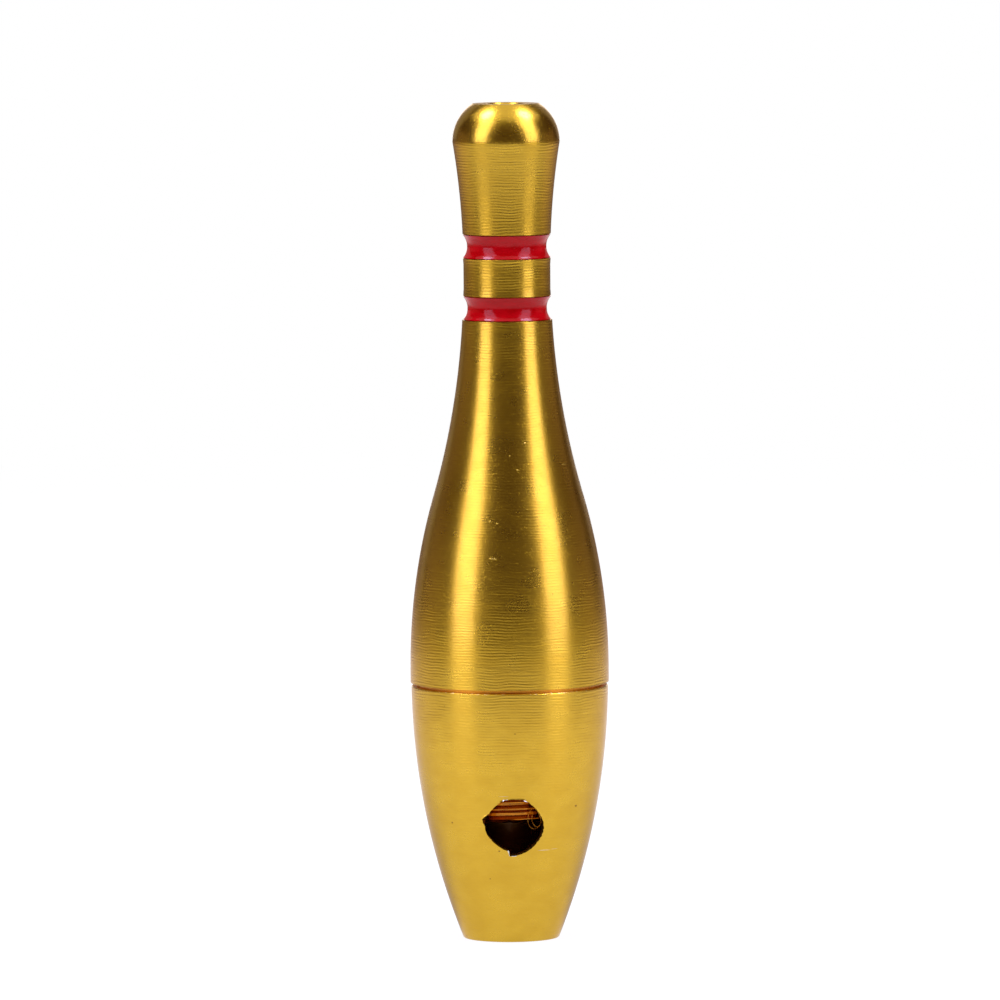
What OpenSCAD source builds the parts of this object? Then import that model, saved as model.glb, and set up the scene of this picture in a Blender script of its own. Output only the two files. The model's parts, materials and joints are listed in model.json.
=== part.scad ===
// Pocket pipe in the shape of a bowling pin, turned in two halves that screw together at the belly.
// The origin is the middle of the base, +Z runs up the pin's axis, and the side hole faces -Y.

/* [Overall] */
// Height from the base to the flat top
total_h = 80; // [66:0.5:110]
// Diameter of the upper half at the belly
belly_d = 19; // [15.8:0.1:24]
// Height of the lower half, from the base to the seam
cup_h = 24.6; // [22:0.1:32]
// Diameter of the base
base_d = 9.24; // [7:0.02:11.5]
// Radius of the curve up the side of the lower half
cup_curve_r = 67.6; // [40:0.1:200]
// How far the lower half stands back from the upper half at the seam, on the radius
seam_step = 0.08; // [0:0.02:0.4]

/* [Belly and neck] */
// Straight stretch of the upper half above the seam
belly_straight = 1.5; // [0.5:0.1:6]
// Diameter that the long curve ends with in the neck
neck_d = 8.38; // [7.4:0.02:10]
// Depth of the neck's narrowest point below the top
neck_drop = 16.5; // [16:0.1:20]
// Share of the long curve that is convex
belly_share = 0.44; // [0.3:0.01:0.6]

/* [Red grooves] */
// Radius of the round tool that cuts the grooves
groove_tool_r = 1.6; // [1.2:0.1:2.2]
// Diameter of the enamel at the middle of a groove
enamel_d = 7.58; // [6.6:0.02:8]
// Thickness of the enamel
enamel_t = 0.12; // [0.06:0.02:0.3]
// Depth of the upper groove's middle below the top
groove_drop = 13.6; // [12:0.1:14.6]
// Distance between the middles of the two grooves
groove_pitch = 5.9; // [4.5:0.1:6.9]
// Diameter of the land between the grooves
land_d = 8.3; // [7.9:0.02:9]
// Height of the burr that the tool raised at each edge of the land
land_lip = 0.04; // [0:0.01:0.1]
// Width of that burr
land_lip_w = 0.6; // [0.2:0.1:1]

/* [Head] */
// Diameter where the head leaves the upper groove
head_foot_d = 8.44; // [8:0.02:9.4]
// Diameter of the head at the shoulder of its dome
head_d = 10.25; // [9:0.05:13]
// Radius of the hollow curve up the side of the head
head_flare_r = 73; // [30:1:150]
// Height of the dome above its shoulder
dome_h = 3.6; // [2:0.1:5]
// Radius of the dome's curve
dome_r = 4.32; // [3.4:0.02:7]
// Diameter of the flat top
top_d = 6.4; // [5:0.1:8]

/* [Airway] */
// Diameter of the airway through the head and neck
airway_d = 3; // [2:0.1:4]
// Length of that narrow airway, down from the flat top
airway_h = 30; // [18:0.5:40]
// Diameter of the wider bore that meets it from the spigot
wide_bore_d = 5.5; // [4.2:0.1:6]
// Depth of the bevel at the airway's mouth
airway_bevel = 0.3; // [0.1:0.05:0.8]
// Diameter of the gauze screen
screen_d = 7.9; // [6:0.1:8.5]
// Thickness of the gauze's wire
screen_wire = 0.2; // [0.1:0.02:0.3]
// Distance between the middles of the gauze's wires
screen_mesh = 0.5; // [0.4:0.02:1]
// Depth of the screen's recess in the end of the spigot
recess_h = 0.8; // [0.7:0.05:2]

/* [Screw joint] */
// Outer diameter of the thread
thread_d = 12; // [10:0.1:13]
// Pitch of the thread
thread_pitch = 1; // [0.75:0.05:1.25]
// Direction in which the thread starts, anticlockwise from +X
thread_start = 160; // [0:5:355]
// Length of the spigot below the shoulder
spigot_h = 13; // [9:0.1:14]
// Height of the plain groove where the thread meets the shoulder
relief_h = 1.2; // [0.6:0.1:2]
// Turns of thread in the lower half below the spigot's end
spare_turns = 1; // [1:1:3]
// Height of the open seam
seam_gap = 0.3; // [0.1:0.05:0.6]
// Depth of the open seam, in from the rim of the lower half
seam_depth = 0.5; // [0.2:0.1:1.2]

/* [Bowl] */
// Thickness of the base under the drilled chamber
floor_t = 2.2; // [1:0.1:4]
// Point angle of the drills that make the chamber and the wide bore
drill_angle = 118; // [90:1:140]
// Width of the chisel edge at the drill's tip
drill_web = 0.8; // [0.2:0.1:1.6]
// Diameter of the side hole
side_hole_d = 5.5; // [4.5:0.1:6.5]
// Height of the side hole's axis above the base
side_hole_z = 11.5; // [10:0.1:13]

/* [Edges and fits] */
// Bevel on the outer edges of both halves
edge = 0.1; // [0.05:0.05:0.3]
// How much deeper the bevel at each thread's start is than the thread
bevel_past = 0.16; // [0.1:0.02:0.4]
// Clearance between the two threads, square to their faces
thread_clear = 0.08; // [0.05:0.01:0.15]
// Clearance around the screen in its recess
screen_clear = 0.05; // [0.02:0.01:0.2]

/* [Hidden] */
$fn = 96;

gold = [0.80, 0.60, 0.16];
enamel_red = [0.76, 0.03, 0.06];
brass = [0.74, 0.62, 0.34];

// Steps along each curve of an outline
curve_steps = 14;
// Facets around the helical threads, and lines that draw their profile along one pitch
thread_sides = 36;
thread_lines = 4;
// Half the angle between the flanks of a thread
flank_angle = 30;
// Depth of the thread, and width of its crest, for each millimetre of pitch
depth_per_pitch = 0.54;
crest_per_pitch = 1 / 8;
// Overshoot of a cut past the face that it opens
cut = 1;
// How far a thread's root and its groove at the shoulder go past the surface that they meet
bury = 0.05;

belly_r = belly_d / 2;
rim_r = belly_r - seam_step;
base_r = base_d / 2;
neck_z = total_h - neck_drop;
upper_groove_z = total_h - groove_drop;
lower_groove_z = upper_groove_z - groove_pitch;
groove_half_w = sqrt(pow(groove_tool_r, 2) - pow(groove_tool_r - (land_d - enamel_d) / 2, 2));
dome_z = total_h - dome_h;

// The long curve is two arcs that meet without a corner and are both upright at their outer ends
curve_z = cup_h + belly_straight;
curve_rise = neck_z - curve_z;
curve_fall = (belly_d - neck_d) / 2;
curve_sum_r = (pow(curve_rise, 2) + pow(curve_fall, 2)) / (2 * curve_fall);
belly_arc_r = belly_share * curve_sum_r;
neck_arc_r = curve_sum_r - belly_arc_r;
turn_point = [belly_r - belly_share * curve_fall, curve_z + belly_share * curve_rise];
neck_at_groove = neck_d / 2 + neck_arc_r - sqrt(pow(neck_arc_r, 2) - pow(neck_z - lower_groove_z, 2));

thread_r = thread_d / 2;
thread_depth = depth_per_pitch * thread_pitch;
core_r = thread_r - thread_depth;
drill_r = core_r + thread_clear;
thread_bevel = thread_depth + bevel_past;
drill_tip_h = (drill_r - drill_web / 2) / tan(drill_angle / 2);
chamber_z = floor_t + drill_tip_h;
// The wide bore's drill point ends inside the narrow airway
wide_web_d = airway_d - 2 * bury;
wide_tip_h = (wide_bore_d - wide_web_d) / 2 / tan(drill_angle / 2);
wide_bore_top = total_h - airway_h - wide_tip_h;
spigot_z = cup_h - spigot_h;
recess_r = screen_d / 2 + screen_clear;
screen_z = spigot_z + recess_h - 2 * screen_wire;
seat_r = rim_r - seam_depth;

// Points along the short arc of radius r from p to q: it bulges to the right of p to q, or left if r < 0
function arc(p, q, r) =
    let (
        d = q - p,
        square = [-d[1], d[0]] / norm(d),
        middle = (p + q) / 2 + sign(r) * sqrt(pow(r, 2) - pow(norm(d) / 2, 2)) * square,
        half = asin(norm(d) / 2 / abs(r)),
        start = atan2(p[1] - middle[1], p[0] - middle[0])
    )
    [for (i = [0 : curve_steps]) let (a = start + sign(r) * 2 * half * i / curve_steps)
        middle + abs(r) * [cos(a), sin(a)]];

// Outline of the upper half, without its grooves and spigot
function upper_outline() = concat(
    [[0, cup_h], [belly_r - edge, cup_h], [belly_r, cup_h + edge]],
    arc([belly_r, curve_z], turn_point, belly_arc_r),
    arc(turn_point, [neck_at_groove, lower_groove_z], -neck_arc_r),
    [
        [land_d / 2 + land_lip, lower_groove_z],
        [land_d / 2 + land_lip, lower_groove_z + groove_half_w],
        [land_d / 2, lower_groove_z + groove_half_w + land_lip_w],
        [land_d / 2, upper_groove_z - groove_half_w - land_lip_w],
        [land_d / 2 + land_lip, upper_groove_z - groove_half_w],
        [land_d / 2 + land_lip, upper_groove_z]
    ],
    arc([head_foot_d / 2, upper_groove_z + groove_half_w], [head_d / 2, dome_z], -head_flare_r),
    arc([head_d / 2, dome_z], [top_d / 2, total_h], dome_r),
    [[0, total_h]]
);

// Outline of the lower half, solid, with the rim lowered outside the seat
function cup_outline() = concat(
    [[0, 0], [base_r - edge, 0]],
    arc([base_r, edge], [rim_r, cup_h - seam_gap - edge], cup_curve_r),
    [
        [rim_r - edge, cup_h - seam_gap],
        [seat_r, cup_h - seam_gap],
        [seat_r, cup_h],
        [0, cup_h]
    ]
);

// Half the thread's profile, as [distance along the axis from its middle, radius]: grown by gap at the
// crest and flanks, and with its root at the radius inner
function flank(gap, inner) =
    let (
        outer = thread_r + gap,
        crest = crest_per_pitch * thread_pitch / 2 + gap * (1 / cos(flank_angle) - tan(flank_angle)),
        root = crest + (outer - inner) * tan(flank_angle)
    )
    [[crest, outer], [root, inner]];

// A point's place in the rod's list: the last side joins the first one a full turn further up
function place(row, side) = side < thread_sides
    ? row * thread_sides + side
    : (row + thread_lines) * thread_sides;

// A closed rod with a right-hand thread from z0 to past z1, grown by gap, with its root at radius inner
module threaded_rod(z0, z1, gap, inner) {
    half = flank(gap, inner);
    profile = [
        [-half[1][0], half[1][1]],
        [-half[0][0], half[0][1]],
        half[0],
        half[1]
    ];
    last = thread_lines * (ceil((z1 - z0) / thread_pitch) + 2) - 1;
    grid = [
        for (row = [0 : last], side = [0 : thread_sides - 1])
            let (
                line = profile[row % thread_lines],
                turns = floor(row / thread_lines) + side / thread_sides,
                a = thread_start + 360 * side / thread_sides
            )
            [line[1] * cos(a), line[1] * sin(a), z0 + turns * thread_pitch + line[0]]
    ];
    walls = [
        for (side = [0 : thread_sides - 1])
            for (row = [0 : last - 1 - (side == thread_sides - 1 ? thread_lines : 0)])
                let (
                    a = place(row, side),
                    b = place(row, side + 1),
                    c = place(row + 1, side + 1),
                    d = place(row + 1, side)
                )
                each [[a, d, c], [a, c, b]]
    ];
    below = concat(
        [for (side = [0 : thread_sides - 1]) place(0, side)],
        [for (row = [thread_lines : -1 : 1]) place(row, 0)]
    );
    above = concat(
        [for (side = [0 : thread_sides - 1]) place(last, side)],
        [for (row = [last - 1 : -1 : last - thread_lines]) place(row, thread_sides - 1)]
    );
    middles = [[0, 0, z0 - thread_pitch], [0, 0, grid[place(last, 0)][2] + 2 * thread_pitch]];
    first_middle = len(grid);
    ends = [
        for (i = [0 : len(below) - 1])
            [first_middle, below[i], below[(i + 1) % len(below)]],
        for (i = [0 : len(above) - 1])
            [first_middle + 1, above[(i + 1) % len(above)], above[i]]
    ];
    polyhedron(concat(grid, middles), concat(walls, ends));
}

// The ring that the round tool sweeps, with its lowest point at floor_r
module groove_ring(z, floor_r) {
    rotate_extrude()
        translate([floor_r + groove_tool_r, z])
            circle(groove_tool_r);
}

// The upper half's outer shape
module upper_solid() {
    rotate_extrude()
        polygon(upper_outline());
}

// The spigot: a threaded rod that is plain from the groove at the shoulder upwards, into the belly
module spigot() {
    first_z = spigot_z - 2 * thread_pitch;
    outer_r = thread_r + cut;
    difference() {
        threaded_rod(first_z, cup_h, 0, core_r);
        rotate_extrude()
            polygon([
                [0, first_z - 2 * thread_pitch],
                [outer_r, first_z - 2 * thread_pitch],
                [outer_r, spigot_z + thread_bevel + cut],
                [thread_r - thread_bevel, spigot_z],
                [0, spigot_z]
            ]);
        rotate_extrude()
            translate([core_r - bury, cup_h - relief_h])
                square([thread_depth + bury + cut, relief_h + 5 * thread_pitch]);
    }
}

// Upper half: head, neck, belly and spigot, with the airway through them
module mouthpiece_body() {
    color(gold)
        difference() {
            union() {
                upper_solid();
                spigot();
            }
            for (z = [lower_groove_z, upper_groove_z])
                groove_ring(z, enamel_d / 2 - enamel_t);
            translate([0, 0, wide_bore_top - cut])
                cylinder(h = airway_h + 2 * cut, d = airway_d);
            translate([0, 0, spigot_z - cut])
                cylinder(h = wide_bore_top - spigot_z + cut, d = wide_bore_d);
            translate([0, 0, wide_bore_top])
                cylinder(h = wide_tip_h, d1 = wide_bore_d, d2 = wide_web_d);
            translate([0, 0, total_h - airway_bevel])
                cylinder(h = 2 * airway_bevel, d1 = airway_d, d2 = airway_d + 4 * airway_bevel);
            translate([0, 0, spigot_z - cut])
                cylinder(h = recess_h + cut, r = recess_r);
        }
}

// Lower half: the bowl, with its chamber, internal thread and side hole
module bowl_cup() {
    color(gold)
        difference() {
            rotate_extrude()
                polygon(cup_outline());
            translate([0, 0, chamber_z])
                cylinder(h = cup_h, r = drill_r);
            translate([0, 0, floor_t])
                cylinder(h = drill_tip_h, r1 = drill_web / 2, r2 = drill_r);
            threaded_rod(spigot_z - spare_turns * thread_pitch, cup_h, thread_clear, drill_r - bury);
            translate([0, 0, cup_h - thread_bevel - cut])
                cylinder(h = thread_bevel + 2 * cut, r1 = drill_r - cut, r2 = drill_r + thread_bevel + cut);
            translate([0, 0, side_hole_z])
                rotate([90, 0, 0])
                    cylinder(h = belly_r + cut, d = side_hole_d);
        }
}

// One ring of enamel, which lines a groove and ends flush with the metal beside it
module red_band(z) {
    color(enamel_red)
        difference() {
            intersection() {
                upper_solid();
                groove_ring(z, enamel_d / 2 - enamel_t);
            }
            groove_ring(z, enamel_d / 2);
        }
}

module upper_red_band() {
    red_band(upper_groove_z);
}

module lower_red_band() {
    red_band(lower_groove_z);
}

// Round gauze in the spigot's recess: two crossed layers of wire, pressed up against the recess
module gauze_screen() {
    wires = floor(screen_d / 2 / screen_mesh);
    color(brass)
        for (layer = [0, 1])
            translate([0, 0, screen_z + layer * screen_wire])
                rotate([0, 0, 90 * layer])
                    linear_extrude(screen_wire)
                        intersection() {
                            circle(d = screen_d);
                            for (i = [-wires : wires])
                                translate([i * screen_mesh, 0])
                                    square([screen_wire, screen_d + cut], center = true);
                        }
}

bowl_cup();
mouthpiece_body();
upper_red_band();
lower_red_band();
gauze_screen();
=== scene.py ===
"""Looks of the pocket pipe that is shaped like a bowling pin.

Lengths are millimetres and angles are degrees unless a name says otherwise. A turn is a share of a full
circle, counted anticlockwise from above, and turn 0 faces -Y, as the side hole does.
"""

import json
import math
import random

import bmesh
import bpy
from mathutils import Matrix, Vector, noise


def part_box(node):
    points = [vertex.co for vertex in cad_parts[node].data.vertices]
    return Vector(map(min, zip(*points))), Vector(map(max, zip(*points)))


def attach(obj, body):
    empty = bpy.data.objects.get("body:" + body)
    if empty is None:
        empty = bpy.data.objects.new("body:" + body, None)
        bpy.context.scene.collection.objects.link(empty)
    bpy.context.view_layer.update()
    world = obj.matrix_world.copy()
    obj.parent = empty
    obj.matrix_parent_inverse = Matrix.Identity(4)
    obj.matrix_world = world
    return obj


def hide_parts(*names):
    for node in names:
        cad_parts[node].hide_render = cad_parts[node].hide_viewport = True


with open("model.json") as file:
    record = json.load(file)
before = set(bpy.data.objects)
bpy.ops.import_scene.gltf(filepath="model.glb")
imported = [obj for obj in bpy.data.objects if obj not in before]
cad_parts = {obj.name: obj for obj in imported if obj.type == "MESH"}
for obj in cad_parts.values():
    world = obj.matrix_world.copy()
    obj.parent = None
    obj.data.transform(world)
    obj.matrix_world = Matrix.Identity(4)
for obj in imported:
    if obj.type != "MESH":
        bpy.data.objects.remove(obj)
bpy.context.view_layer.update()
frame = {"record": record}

MM = 0.001


def limits(node):
    """A CAD node's lowest and highest corner, in millimetres."""
    low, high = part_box(node)
    return low / MM, high / MM


body_low, body_high = limits("mouthpiece_body")
_, cup_high = limits("bowl_cup")
screen_low, screen_high = limits("gauze_screen")
mounts = {mount["name"]: mount for mount in frame["record"]["mounts"]}

# ---------------------------------------------------------------- sizes

TOP_Z = body_high.z
BELLY_R = body_high.x
SPIGOT_Z = body_low.z
SEAM_Z = cup_high.z
RIM_R = cup_high.x
BASE_R = 4.62
CUP_CURVE_R = 67.6
SEAM_GAP = 0.3
SEAT_R = RIM_R - 0.5
EDGE = 0.1
SEAM_EDGE = 0.03

CURVE_Z = SEAM_Z + 1.5
NECK_Z = TOP_Z - 16.5
NECK_R = 4.19
BELLY_SHARE = 0.44

TOOL_R = 1.6
ENAMEL_R = 3.79
ENAMEL_T = 0.12
UPPER_GROOVE_Z = TOP_Z - 13.6
LOWER_GROOVE_Z = UPPER_GROOVE_Z - 5.9
LAND_R = 4.15
LAND_LIP = 0.04
LAND_LIP_W = 0.6

HEAD_FOOT_R = 4.22
HEAD_R = 5.125
HEAD_FLARE_R = 73
DOME_Z = TOP_Z - 3.6
DOME_R = 4.32
TOP_R = 3.2

AIRWAY_R = 1.5
AIRWAY_BEVEL = 0.3
AIRWAY_Z = TOP_Z - 30
WIDE_BORE_R = 2.75
WIDE_TIP = 0.75
SCREEN_R = screen_high.x
RECESS_R = SCREEN_R + 0.05
RECESS_H = 0.8

PITCH = 1.0
THREAD_R = 6.0
THREAD_DEPTH = 0.54
THREAD_CLEAR = 0.08
CREST_HALF = 0.0625
FLANK = math.radians(30)
FLANK_SLOPE = math.tan(FLANK)
THREAD_BEVEL = 0.7
SPIGOT_BEVEL = 0.35
RELIEF_Z = SEAM_Z - 1.2
RELIEF_R = 5.41
DRILL_R = THREAD_R - THREAD_DEPTH + THREAD_CLEAR
FLOOR_Z = 2.2
WEB_R = 0.4
DRILL_POINT = math.radians(59)
CHAMBER_Z = FLOOR_Z + (DRILL_R - WEB_R) / math.tan(DRILL_POINT)
SPARE_TURNS = 1
THREAD_START = 160 / 360 + 0.25

HOLE_R = 2.75
DRILL_WANDER = 0.12
HOLE_Z = mounts["side_hole"]["pos_m"][2] / MM - DRILL_WANDER

# Mesh fineness
COLUMNS = 256
CURVE_STEP = 0.4
WINDOW_HALF = 28
WINDOW_REACH = 3.6
WINDOW_STEP = 0.1
OUTER_RINGS = 14
INNER_RINGS = 12
DRILL_RINGS = 16


# ---------------------------------------------------------------- outlines

def arc(start, end, radius, step=CURVE_STEP):
    """Points along the short arc from start to end. A positive radius bulges to the right of that way."""
    start, end = Vector(start), Vector(end)
    chord = end - start
    across = Vector((-chord.y, chord.x)).normalized()
    rise = math.sqrt(radius ** 2 - (chord.length / 2) ** 2)
    side = math.copysign(1, radius)
    middle = (start + end) / 2 + side * rise * across
    half = math.asin(chord.length / 2 / abs(radius))
    first = math.atan2(start.y - middle.y, start.x - middle.x)
    count = max(2, round(2 * half * abs(radius) / step))
    angles = [first + side * 2 * half * i / count for i in range(count + 1)]
    return [(middle.x + abs(radius) * math.cos(a), middle.y + abs(radius) * math.sin(a)) for a in angles]


def line(start, end, step=CURVE_STEP):
    """Points along a straight line from start to end."""
    start, end = Vector(start), Vector(end)
    count = max(1, round((end - start).length / step))
    return [tuple(start.lerp(end, i / count)) for i in range(count + 1)]


def joined(*stretches):
    """One outline from several stretches, without the points that two stretches share."""
    points = []
    for stretch in stretches:
        for point in stretch:
            if not points or (Vector(point) - Vector(points[-1])).length > 1e-5:
                points.append(tuple(point))
    return points


def groove_half(floor_r, edge_r):
    """Half the height of a groove whose floor is at floor_r, where it meets the radius edge_r."""
    return math.sqrt(TOOL_R ** 2 - (floor_r + TOOL_R - edge_r) ** 2)


def groove(z, floor_r, edge_r):
    """A groove's section, from its lower edge to its upper edge."""
    half = groove_half(floor_r, edge_r)
    return arc((edge_r, z - half), (edge_r, z + half), -TOOL_R, 0.1)


def upper_outline():
    """The upper half from the shoulder at the seam to the flat top, with bare grooves."""
    rise = NECK_Z - CURVE_Z
    fall = BELLY_R - NECK_R
    total = (rise ** 2 + fall ** 2) / (2 * fall)
    turn_point = (BELLY_R - BELLY_SHARE * fall, CURVE_Z + BELLY_SHARE * rise)
    neck_arc_r = (1 - BELLY_SHARE) * total
    metal_r = ENAMEL_R - ENAMEL_T
    lip_r = LAND_R + LAND_LIP
    half = groove_half(metal_r, lip_r)
    lower_edge = LOWER_GROOVE_Z - half
    neck_r = NECK_R + neck_arc_r - math.sqrt(neck_arc_r ** 2 - (NECK_Z - lower_edge) ** 2)
    return joined(
        [(BELLY_R - SEAM_EDGE, SEAM_Z)],
        line((BELLY_R, SEAM_Z + SEAM_EDGE), (BELLY_R, CURVE_Z)),
        arc((BELLY_R, CURVE_Z), turn_point, BELLY_SHARE * total),
        arc(turn_point, (neck_r, lower_edge), -neck_arc_r),
        groove(LOWER_GROOVE_Z, metal_r, lip_r),
        line((LAND_R, LOWER_GROOVE_Z + half + LAND_LIP_W), (LAND_R, UPPER_GROOVE_Z - half - LAND_LIP_W)),
        groove(UPPER_GROOVE_Z, metal_r, lip_r),
        arc((HEAD_FOOT_R, UPPER_GROOVE_Z + half), (HEAD_R, DOME_Z), -HEAD_FLARE_R),
        arc((HEAD_R, DOME_Z), (TOP_R, TOP_Z), DOME_R, 0.15),
    )


def cup_outline(low, high):
    """The lower half's curved side between two heights."""
    steps = math.ceil((high - low) / CURVE_STEP)
    heights = [low + (high - low) * i / steps for i in range(steps + 1)]
    return [(cup_side(z), z) for z in heights]


def cup_side(z, turn=0.0):
    """The lower half's radius at a height: one arc from the base's edge to the rim, the same all round."""
    start, end = Vector((BASE_R, EDGE)), Vector((RIM_R, SEAM_Z - SEAM_GAP - EDGE))
    chord = end - start
    across = Vector((-chord.y, chord.x)).normalized()
    middle = (start + end) / 2 + math.sqrt(CUP_CURVE_R ** 2 - (chord.length / 2) ** 2) * across
    return middle.x + math.sqrt(CUP_CURVE_R ** 2 - (z - middle.y) ** 2)


# ---------------------------------------------------------------- threads

def thread_phase(z, turn):
    """Distance along the axis from the nearest crest of the male thread."""
    place = (z - SPIGOT_Z) / PITCH - (turn - THREAD_START)
    return abs(place - round(place)) * PITCH


def spigot_side(z, turn):
    """Radius of the spigot: its thread, with a bevel at the start."""
    crest_r = THREAD_R - max(0.0, thread_phase(z, turn) - CREST_HALF) / FLANK_SLOPE
    bevel_r = THREAD_R - SPIGOT_BEVEL + (z - SPIGOT_Z)
    return min(max(crest_r, THREAD_R - THREAD_DEPTH), bevel_r)


def chamber_side(z, turn):
    """Radius of the tapped chamber: its thread, with a bevel at the mouth."""
    crest_half = CREST_HALF + THREAD_CLEAR * (1 / math.cos(FLANK) - FLANK_SLOPE)
    start_z = SPIGOT_Z - SPARE_TURNS * PITCH + ((turn - THREAD_START) % 1) * PITCH - PITCH / 2
    groove_r = THREAD_R + THREAD_CLEAR - max(0.0, thread_phase(z, turn) - crest_half) / FLANK_SLOPE
    mouth_r = DRILL_R + THREAD_BEVEL - (SEAM_Z - z)
    return max(DRILL_R, mouth_r, groove_r if z > start_z else 0.0)


# ---------------------------------------------------------------- lathe meshes

class Lathe:
    """A mesh that is built ring by ring round the axis. Every ring has COLUMNS points."""

    def __init__(self):
        self.points = []
        self.faces = []

    def point(self, radius, turn, z):
        angle = 2 * math.pi * turn
        self.points.append((radius * math.sin(angle) * MM, -radius * math.cos(angle) * MM, z * MM))
        return len(self.points) - 1

    def ring(self, radius, z):
        """A ring of points. The radius is a number or a function of the height and the turn."""
        side = radius if callable(radius) else lambda height, turn: radius
        return [self.point(side(z, i / COLUMNS), i / COLUMNS, z) for i in range(COLUMNS)]

    def face(self, *corners):
        """One face, unless its corners have run together."""
        kept = [c for i, c in enumerate(corners) if c != corners[i - 1]]
        if len(set(kept)) >= 3:
            self.faces.append(kept)

    def bridge(self, lower, upper):
        """Faces between two closed loops with as many points as each other."""
        for i in range(len(lower)):
            self.face(lower[i - 1], lower[i], upper[i], upper[i - 1])

    def sweep(self, outline, first=None):
        """Rings along an outline. Returns the first and the last of them."""
        start = last = first
        for radius, z in outline:
            ring = self.ring(radius, z)
            if last:
                self.bridge(last, ring)
            start = start or ring
            last = ring
        return start, last

    def cap(self, ring, z):
        """Closes a ring with a fan round the axis."""
        middle = self.point(0, 0, z)
        for i in range(len(ring)):
            self.face(ring[i - 1], ring[i], middle)

    def helix(self, side, low, high, offsets):
        """A threaded wall whose rows climb one pitch a turn, cut off square at both ends."""
        per_turn = len(offsets)
        turns = math.ceil((high - low) / PITCH) + 3
        first = SPIGOT_Z + PITCH * (math.floor((low - SPIGOT_Z) / PITCH) - 2)
        bottom, top = self.ring(side, low), self.ring(side, high)
        columns = []
        for i in range(COLUMNS + 1):
            if i == COLUMNS:
                columns.append(columns[0][per_turn:])
                continue
            turn = i / COLUMNS
            column = []
            for row in range(per_turn * turns):
                z = first + PITCH * (row // per_turn + turn - THREAD_START % 1) + offsets[row % per_turn]
                if z <= low + 1e-4:
                    column.append(bottom[i])
                elif z >= high - 1e-4:
                    column.append(top[i])
                else:
                    column.append(self.point(side(z, turn), turn, z))
            columns.append(column)
        for left, right in zip(columns, columns[1:]):
            for row in range(min(len(left), len(right)) - 1):
                self.face(left[row], right[row], right[row + 1], left[row + 1])
        return bottom, top

    def finish(self, name, material, sharp=25):
        """The mesh object, with its faces outwards and its edges crisp where they turn more than sharp."""
        mesh = bpy.data.meshes.new(name)
        mesh.from_pydata(self.points, [], self.faces)
        return finish_mesh(name, mesh, material, sharp)


def finish_mesh(name, mesh, material, sharp=25):
    """The object for a mesh: faces outwards, no loose points, crisp where it turns more than sharp."""
    work = bmesh.new()
    work.from_mesh(mesh)
    bmesh.ops.recalc_face_normals(work, faces=work.faces)
    loose = [v for v in work.verts if not v.link_faces]
    bmesh.ops.delete(work, geom=loose, context="VERTS")
    work.to_mesh(mesh)
    work.free()
    mesh.polygons.foreach_set("use_smooth", [True] * len(mesh.polygons))
    mesh.set_sharp_from_angle(angle=math.radians(sharp))
    mesh.materials.append(material)
    piece = bpy.data.objects.new(name, mesh)
    bpy.context.scene.collection.objects.link(piece)
    return piece


# ---------------------------------------------------------------- side hole

def bump(angle, centre, width):
    """A smooth hump that is 1 at the centre and 0 at width degrees on both sides of it."""
    away = abs((angle - centre + 180) % 360 - 180) / width
    return 0.0 if away >= 1 else (1 - away ** 2) ** 2


def peak(angle, centre, width):
    """A pointed hump that is 1 at the centre and 0 at width degrees on both sides of it."""
    away = abs((angle - centre + 180) % 360 - 180) / width
    return max(0.0, 1 - away)


HOLE_SUNK = 0.40
HOLE_CORNER = 0.38
# Each wave of the hole's edge: its height, its angle and half its width
HOLE_WAVES = (
    (0.07, 264, 14),
    (0.11, 0, 36),
    (-0.09, 312, 40),
    (-0.03, 140, 18),
    (0.06, 67, 20),
    (0.06, 113, 14),
)


def hole_radius(angle):
    """The hole's edge, seen along its axis: a drilled circle with a torn corner.

    The angle is anticlockwise from the right, and the circle is sunk where the drill left metal standing.
    """
    angle %= 360
    sunk = bump(angle, 231, 52) if angle <= 231 else max(0.0, min(1.0, (261 - angle) / 3))
    radius = HOLE_R - HOLE_SUNK * sunk + HOLE_CORNER * peak(angle, 165, 14)
    radius += sum(height * bump(angle, centre, width) for height, centre, width in HOLE_WAVES)
    a = math.radians(angle)
    ragged = noise.noise(Vector((math.cos(a), math.sin(a), 0)) * 9)
    fine = noise.noise(Vector((math.cos(a), math.sin(a), 3)) * 24)
    return radius + 0.035 * ragged + 0.02 * fine


def window_loop(rows):
    """Row and column of each grid point along the window's border, once round."""
    half = WINDOW_HALF
    return (
        [(0, column) for column in range(-half, half)]
        + [(row, half) for row in range(rows)]
        + [(rows, column) for column in range(half, -half, -1)]
        + [(row, -half) for row in range(rows, 0, -1)]
    )


def turn_at(x, radius):
    """The turn at which a point of the front wall lies, from its x and its radius."""
    return math.asin(max(-1.0, min(1.0, x / radius))) / (2 * math.pi)


LIP_W = 0.12
LIP_LOW = 0.02
LIP_RISE = 0.05
RING_EASE = 1.7
DRILL_RING = 0.015
TORN_SHARE = 0.35


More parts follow.
